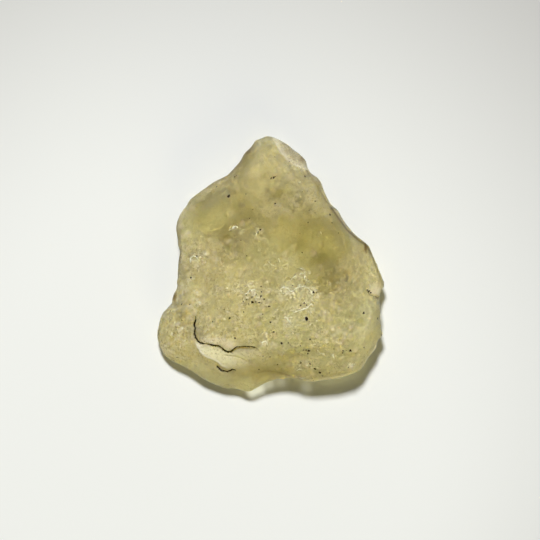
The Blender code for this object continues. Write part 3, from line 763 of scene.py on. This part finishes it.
# Noises of the skin: the width of the lumps in mm, then Detail and Roughness.
NOISES = {
    "clouds": (3.4, 3.0, 0.6), "mottle": (0.8, 3.0, 0.6), "specks": (0.22, 2.0, 0.6), "rag": (0.14, 2.0, 0.5),
    "froth": (0.90, 2.0, 0.5), "rim": (0.20, 2.0, 0.5), "pale": (0.42, 3.0, 0.6), "pink": (0.75, 3.0, 0.6),
    "drifts": (1.5, 1.0, 0.5), "grit": (0.15, 1.0, 0.5), "sand": (0.36, 1.0, 0.5), "glint_specks": (0.25, 1.0, 0.5),
    "knobs": (0.28, 1.0, 0.5), "fine": (0.16, 3.0, 0.6), "coarse": (0.40, 1.0, 0.5), "worn": (0.55, 2.0, 0.5),
}


def desert_glass():
    """Wind-worn natural glass: satin and milky outside, straw yellow inside, glossy where bubbles burst."""
    material = bpy.data.materials.new("wind_worn_silica_glass")
    material.use_nodes = True
    tree = material.node_tree
    tree.nodes.clear()
    place = add(tree, "ShaderNodeTexCoord").outputs["Object"]
    kept = {}
    for name in [*SKINS, *OTHER_VALUES]:
        node = add(tree, "ShaderNodeAttribute", {"attribute_name": name})
        kept[name] = Reading(tree, node.outputs["Fac"])
    noise = {}
    for name, (width, detail, roughness) in NOISES.items():
        node = add(tree, "ShaderNodeTexNoise", inputs={
            "Vector": place, "Scale": 1 / (width * MM), "Detail": detail, "Roughness": roughness})
        noise[name] = Reading(tree, node.outputs[0])

    # How milky the skin is: the placed patches, broken up by cloudy and fine noise.
    mottle = noise["mottle"] - 0.5
    frost = kept["milky"] * 0.55 + 0.30 - kept["clear"] * 0.34
    frost = frost + kept["painted_glow"] * 0.40 + kept["bloom"] * 0.25
    uneven = (mottle * 1.5 + (noise["specks"] - 0.5) * 1.4) * kept["clear"].between(1.0, 0.35)
    frost = (frost + (noise["clouds"] - 0.5) * 1.2 + uneven).held()

    # Dirt: dark where the gap to its ragged edge is below zero. Rust: a stain with a broken edge.
    grime_gap = kept["grime"] + (noise["rag"] - 0.5) * (4 * GRIME_RAGGED)
    soiled = ((0.02 - grime_gap) / 0.04).held()
    rust = kept["rust"] * ((kept["rust"] + mottle * 0.9 - 0.20) / 0.5).held()

    # Froth: a fine net of bubble walls, thickest in the middle of each field, and the placed rims. Walls and
    # rims are painted white as highlights; the glass beside and between them is painted darker as shade.
    wander = add(tree, "ShaderNodeTexNoise", inputs={
        "Vector": place, "Scale": 1 / (NET_WANDER * MM), "Detail": 2.0})
    wander = add(tree, "ShaderNodeVectorMath", {"operation": "MULTIPLY_ADD"}, {
        0: wander.outputs["Color"], 1: (NET_WANDER * MM,) * 3, 2: place})
    net = add(tree, "ShaderNodeTexVoronoi", {"feature": "DISTANCE_TO_EDGE"}, {
        "Vector": wander.outputs[0], "Scale": 1 / (NET_WIDTH * MM)})
    wall = (1.0 - Reading(tree, net.outputs["Distance"]) / 0.12).held()
    thick = kept["froth"] + (noise["froth"] - 0.5) * 2.4
    net_lace = wall * ((thick - 0.55) * 2.2).held()
    rim_gap = kept["lace_gap"] + (noise["rim"] - 0.5) * 0.22
    rim = 1.0 - ((rim_gap - 0.035) / 0.04).held()
    beside_rim = 1.0 - ((rim_gap - 0.12) / 0.12).held()
    lace = (rim | net_lace * 0.8).held()
    # Painted shade beside the rims and between the froth's walls.
    hollow_shade = (beside_rim * 0.5 | (thick - 0.60).held() * (1.0 - wall) * 0.7).held()

    # Flecks of milky skin and of clearer glass between them.
    pale_flecks = ((noise["pale"] - 0.54) * 9.0).held()
    pink_flecks = ((noise["pink"] - 0.55) * 8.0).held()

    # Grit: crisp pale grains of frosted glass and small dull hollows between them, fainter on clear skin, and
    # tiny white specks as painted glints.
    patchy = ((noise["drifts"] - 0.5) * 2.6 + 0.65).held() | 0.35
    gritty = kept["clear"].between(1.0, 0.50) * frost.between(0.7, 1.0) * kept["smooth"].between(1.05, 0.25)
    gritty = gritty * (patchy * 1.25)
    grit = noise["grit"] - 0.5 + (noise["sand"] - 0.5)
    pale_grit = (grit * 5.0).held() * gritty
    dull_grit = (grit * -5.0).held() * gritty
    busy = kept["froth"] * 0.14 + kept["knobs"] * 0.05
    # Painted glints: tiny white specks, thicker on froth and knobs.
    glint_specks = ((noise["glint_specks"] + busy - 0.64) * 12.0).held() * gritty
    # Painted highlights, and white skin, on the knobs.
    knob_white_and_glint = kept["knob_white_and_glint"] + (noise["knobs"] - 0.5) * 2.4
    knob_white_and_glint = kept["knob_white_and_glint"] * ((knob_white_and_glint - 0.35) * 2.0).held() * 0.55

    # The chip beside the tip, and the flake under the main crack, each with a paler rim: a painted highlight
    # along the edge that catches the light.
    bevel = (kept["bevel"] / 0.08).held()
    bevel_rim_glint = bevel * (1.0 - ((kept["bevel"] - 0.35) / 0.6).held())
    flake = kept["flake"] * ((kept["flake_side"] + 0.05) / 0.10).held()
    flake_rim_glint = (flake * 1.2).held() * (1.0 - ((kept["flake_side"] - 0.16) / 0.20).held())

    # Each colour lies over the ones before it, by its share.
    layers = [
        (kept["clear"], OLIVE_TINT), (frost, FROSTED_SKIN), (pink_flecks * 0.45, PINK_FLECK),
        (pale_flecks * 0.35, PALE_FLECK), (kept["cool"] * 0.8, COOL_TINT), (bevel, BEVEL_SKIN),
        (bevel_rim_glint, BEVEL_RIM_GLINT), (kept["rose"], ROSE_SKIN), (flake, FLAKE_SKIN),
        (kept["painted_glow"] * 0.9, PAINTED_GLOW_SKIN), (dull_grit * 0.62, DULL_GLASS_AND_SHADE), (pale_grit, PALE_FLECK),
        (kept["streak_and_rim_light"], PALE_FLECK), (kept["bloom"] * 0.7, BLOOM_SKIN), (hollow_shade, DULL_GLASS_AND_SHADE),
        (glint_specks | flake_rim_glint | knob_white_and_glint, GLINT_CREAM), (kept["edge_shade"], SHADED_EDGE), (rust, RUST_SKIN),
        (lace, LACE_GLINT_WHITE), (soiled, DESERT_DIRT),
    ]
    colour = linear(GLASS_TINT)
    for share, tint in layers:
        node = add(tree, "ShaderNodeMix", {"data_type": "RGBA"}, {0: share, 6: colour, 7: linear(tint)})
        colour = node.outputs[2]

    # The white painted highlights of froth, grains, rims and knobs hide the glass under them, and so does the
    # dirt.
    solid = lace | glint_specks | flake_rim_glint | knob_white_and_glint | (flake | kept["rose"]) * 0.5
    solid = solid | kept["streak_and_rim_light"].reckon("POWER", kept["streak_and_rim_light"], 2.0) * 0.7
    see_through = frost.between(0.97, 0.45) - (pale_flecks + pink_flecks) * kept["clear"].between(0.16, 0.05)
    for share, level in ((flake | kept["rose"], 0.20), (bevel, 0.50), (bevel_rim_glint, 0.30), (solid, 0.05)):
        see_through = share.between(see_through, level)
    see_through = see_through * (1.0 - soiled)
    roughness = (kept["glassy"] * 0.8).between(frost.between(0.45, 0.60), 0.20)
    roughness = soiled.between(roughness, 0.85)

    # Relief too fine for the mesh, in mm: grit, sand-blown unevenness and the walls of the froth.
    height = noise["fine"] * (gritty * 0.036) + noise["coarse"] * (gritty * 0.10)
    height = height + noise["worn"] * kept["clear"].between(0.045, 0.012) + net_lace * 0.05
    bump = add(tree, "ShaderNodeBump", inputs={"Strength": 1.0, "Distance": 1.0, "Height": height * MM})

    surface = add(tree, "ShaderNodeBsdfPrincipled", inputs={
        "Base Color": colour, "Roughness": roughness, "Transmission Weight": see_through,
        "Normal": bump.outputs[0], "Subsurface Weight": solid.between(1.0, 0.1), "Subsurface Scale": MM,
        "Subsurface Radius": GLOW_DEPTH, "IOR": GLASS_IOR, "Metallic": 0.0,
        "Specular Tint": linear(DULLED_GLINT)})

    # Absorption by the thickness: density times what the colour lacks of white is the loss per metre.
    strongest = max(ABSORBED_PER_MM)
    left_over = tuple(1 - loss / strongest for loss in ABSORBED_PER_MM)
    inside = add(tree, "ShaderNodeVolumeAbsorption", inputs={
        "Color": (*left_over, 1.0), "Density": strongest / MM})
    add(tree, "ShaderNodeOutputMaterial", inputs={"Surface": surface.outputs[0], "Volume": inside.outputs[0]})
    return material


# Fields of knobs, burst bubbles and pinholes, in the order that they are pressed: the value that they keep
# to, the least spacing, how thickly they lie, the radii, and the sizes of DENT_SIZES, with lengths in mm.
FIELDS = [
    {"zone": "knobs", "spacing": 0.75, "per_square_metre": 1.6e6, "radii": (0.40, 0.80), "seed": 7,
     "dirty_share": 0.0, "depth": -0.24, "lip": -0.03, "shine": 0.0, "softness": 1.2, "bloom": 0.7},
    {"zone": "froth", "spacing": 0.40, "per_square_metre": 3.5e6, "radii": (0.16, 0.36), "seed": 4,
     "dirty_share": 0.0, "depth": 0.18, "lip": 0.16, "shine": 0.8, "softness": 0.8, "bloom": 0.0},
    {"zone": "froth", "spacing": 0.24, "per_square_metre": 5e6, "radii": (0.08, 0.15), "seed": 9,
     "dirty_share": 0.05, "depth": 0.35, "lip": 0.20, "shine": 0.6, "softness": 0.6, "bloom": 0.5},
    {"zone": "pinholes", "spacing": 0.90, "per_square_metre": 4e5, "radii": (0.07, 0.11), "seed": 2,
     "dirty_share": 0.30, "depth": 0.70, "lip": 0.10, "shine": 0.0, "softness": 0.5, "bloom": 0.0},
]
PLACED_PITS = {"depth": 0.35, "lip": 0.08, "shine": 0.4, "softness": 0.6, "bloom": 0.0}


def make_nugget():
    glass = desert_glass()
    nugget = fine_blank()
    touch_outline(nugget.data)
    refine(nugget.data, upper_side(nugget.data), passes=2)
    refine(nugget.data, near_details(nugget.data, DETAIL_REACH, FROTHY), passes=1)
    refine(nugget.data, near_details(nugget.data, EDGE_REACH, FROTHIEST), passes=1)
    carve_ledges(nugget.data)
    raise_lace(nugget.data)
    name_skins(nugget.data)
    dents = dent_group()
    bubbles = open_bubbles_tree(dents, glass)
    for field in FIELDS:
        smallest, largest = (radius * MM for radius in field["radii"])
        sizes = {name: value for name, value in field.items() if name != "radii"}
        sizes["spacing"] = field["spacing"] * MM
        press(nugget, bubbles, smallest=smallest, largest=largest, **sizes)
    marks = pit_marks(nugget.data)
    press(nugget, placed_pits_tree(dents, glass), pits=marks, **PLACED_PITS)
    bpy.data.objects.remove(marks)
    nugget.data.shade_smooth()
    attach(nugget, "root")
    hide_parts(NODE)
    return nugget


# The floor, lights and camera.
FLOOR_SIDE = 1.6
FLOOR_PAINTED_LIT = "edf1f0"       # painted light: the floor's colour in the middle of a painted pool of light
FLOOR_PAINTED_DIM = "ababaa"         # painted dimness outside the pool
POOL_MIDDLE = (-0.010, -0.022)
POOL_FROM = 0.028            # the pool fades between these distances from its middle
POOL_TO = 0.105
CAMERA_HEIGHT = 1.2
VIEW_SHARE = 0.994       # the view spans this share of the photograph's side
KEY_DISTANCE = 2.0
KEY_BEARING = 98         # degrees from +X: the key light stands beyond the tip, slightly left
KEY_HEIGHT = 60          # degrees above the floor
KEY_SIDE = 0.30
KEY_POWER = 42.0
KEY_COLOUR = "fffdfc"
FILL_BEARING = 284       # light thrown back from the room, low on the other side
FILL_HEIGHT = 18
FILL_SIDE = 1.0
FILL_POWER = 12.0
FILL_COLOUR = "fff2b8"
# Small beams in place of the light that the smooth lower rim gathers on the floor: the pixel and the power.
GLINTS = [(252.5, 391.5, 0.30), (260.5, 388.5, 0.28), (269.5, 383.5, 0.13), (281, 381.5, 0.08),
          (306, 387, 0.07)]
GLINT_BEARING = 285
GLINT_HEIGHT = 62
GLINT_DISTANCE = 0.10
GLINT_WIDTH = 1.0            # degrees
GLINT_COLOUR = "fffce8"
SKY_COLOUR = "f8f7f0"
SKY_STRENGTH = 0.04
BACKDROP_STRENGTH = 0.75     # how bright the same sky looks behind the floor's edge


def make_floor():
    mesh = bpy.data.meshes.new("floor")
    sheet = bmesh.new()
    bmesh.ops.create_grid(sheet, x_segments=1, y_segments=1, size=FLOOR_SIDE / 2)
    sheet.to_mesh(mesh)
    sheet.free()
    floor = bpy.data.objects.new("floor", mesh)
    bpy.context.scene.collection.objects.link(floor)
    matt = bpy.data.materials.new("matt_card_painted_light_pool")
    matt.use_nodes = True
    tree = matt.node_tree
    surface = tree.nodes["Principled BSDF"]
    place = add(tree, "ShaderNodeTexCoord").outputs["Object"]
    # Painted light: the card is whiter in a pool round POOL_MIDDLE and fades to grey outside it, in place of
    # a lamp's fall-off.
    gap = add(tree, "ShaderNodeVectorMath", {"operation": "DISTANCE"}, {0: place, 1: (*POOL_MIDDLE, 0.0)})
    fall = add(tree, "ShaderNodeMapRange", {"interpolation_type": "SMOOTHSTEP"}, {
        "Value": gap.outputs["Value"], "From Min": POOL_FROM, "From Max": POOL_TO})
    painted_pool = add(tree, "ShaderNodeMix", {"data_type": "RGBA"}, {
        0: fall.outputs[0], 6: linear(FLOOR_PAINTED_LIT), 7: linear(FLOOR_PAINTED_DIM)})
    tree.links.new(painted_pool.outputs[2], surface.inputs["Base Color"])
    surface.inputs["Roughness"].default_value = 0.8
    surface.inputs["Specular IOR Level"].default_value = 0.2
    mesh.materials.append(matt)


def aim(thing, place, target):
    thing.location = place
    thing.rotation_euler = (Vector(target) - Vector(place)).to_track_quat("-Z", "Y").to_euler()


def light(name, bearing, height, distance, side, power, colour):
    """A square soft light that stands at this bearing and height and faces the nugget."""
    lamp = bpy.data.lights.new(name, "AREA")
    lamp.shape = "SQUARE"
    lamp.size = side
    lamp.energy = power
    lamp.color = linear(colour)[:3]
    holder = bpy.data.objects.new(name, lamp)
    bpy.context.scene.collection.objects.link(holder)
    level, up = math.radians(bearing), math.radians(height)
    aim(holder, (distance * math.cos(level) * math.cos(up), distance * math.sin(level) * math.cos(up),
                 distance * math.sin(up)), (0, 0, 0))


def make_lights():
    light("key", KEY_BEARING, KEY_HEIGHT, KEY_DISTANCE, KEY_SIDE, KEY_POWER, KEY_COLOUR)
    light("fill", FILL_BEARING, FILL_HEIGHT, KEY_DISTANCE, FILL_SIDE, FILL_POWER, FILL_COLOUR)
    level, up = math.radians(GLINT_BEARING), math.radians(GLINT_HEIGHT)
    for across, down, power in GLINTS:
        beam = bpy.data.lights.new("glint", "SPOT")
        beam.energy = power
        beam.color = linear(GLINT_COLOUR)[:3]
        beam.spot_size = math.radians(GLINT_WIDTH)
        beam.spot_blend = 0.8
        beam.shadow_soft_size = 0.0005
        holder = bpy.data.objects.new("glint", beam)
        bpy.context.scene.collection.objects.link(holder)
        x, y = spot(across, down)
        level_reach = GLINT_DISTANCE * math.cos(up)
        aim(holder, (x + level_reach * math.cos(level), y + level_reach * math.sin(level),
                     GLINT_DISTANCE * math.sin(up)), (x, y, 0))
    world = bpy.data.worlds.new("room")
    bpy.context.scene.world = world
    world.use_nodes = True
    tree = world.node_tree
    sky = tree.nodes["Background"]
    sky.inputs["Color"].default_value = linear(SKY_COLOUR)
    seen = add(tree, "ShaderNodeLightPath").outputs["Is Camera Ray"]
    strength = add(tree, "ShaderNodeMix", {"data_type": "FLOAT"}, {
        0: seen, 2: SKY_STRENGTH, 3: BACKDROP_STRENGTH})
    tree.links.new(strength.outputs[0], sky.inputs["Strength"])


def make_camera():
    """Looks straight down, so that the photograph's middle pixel is in the middle of the view."""
    camera = bpy.data.cameras.new("camera")
    camera.sensor_width = 36
    camera.lens = camera.sensor_width * CAMERA_HEIGHT / (PHOTO_SIDE * PIXEL * VIEW_SHARE)
    camera.clip_start = 0.01
    holder = bpy.data.objects.new("camera", camera)
    bpy.context.scene.collection.objects.link(holder)
    holder.location = (*spot(PHOTO_CENTRE, PHOTO_CENTRE), CAMERA_HEIGHT)
    bpy.context.scene.camera = holder


bpy.context.scene.view_settings.view_transform = "Standard"
# Light that has gone through the glass keeps its full strength.
bpy.context.scene.cycles.sample_clamp_indirect = 0.0
make_camera()
make_lights()
make_floor()
make_nugget()
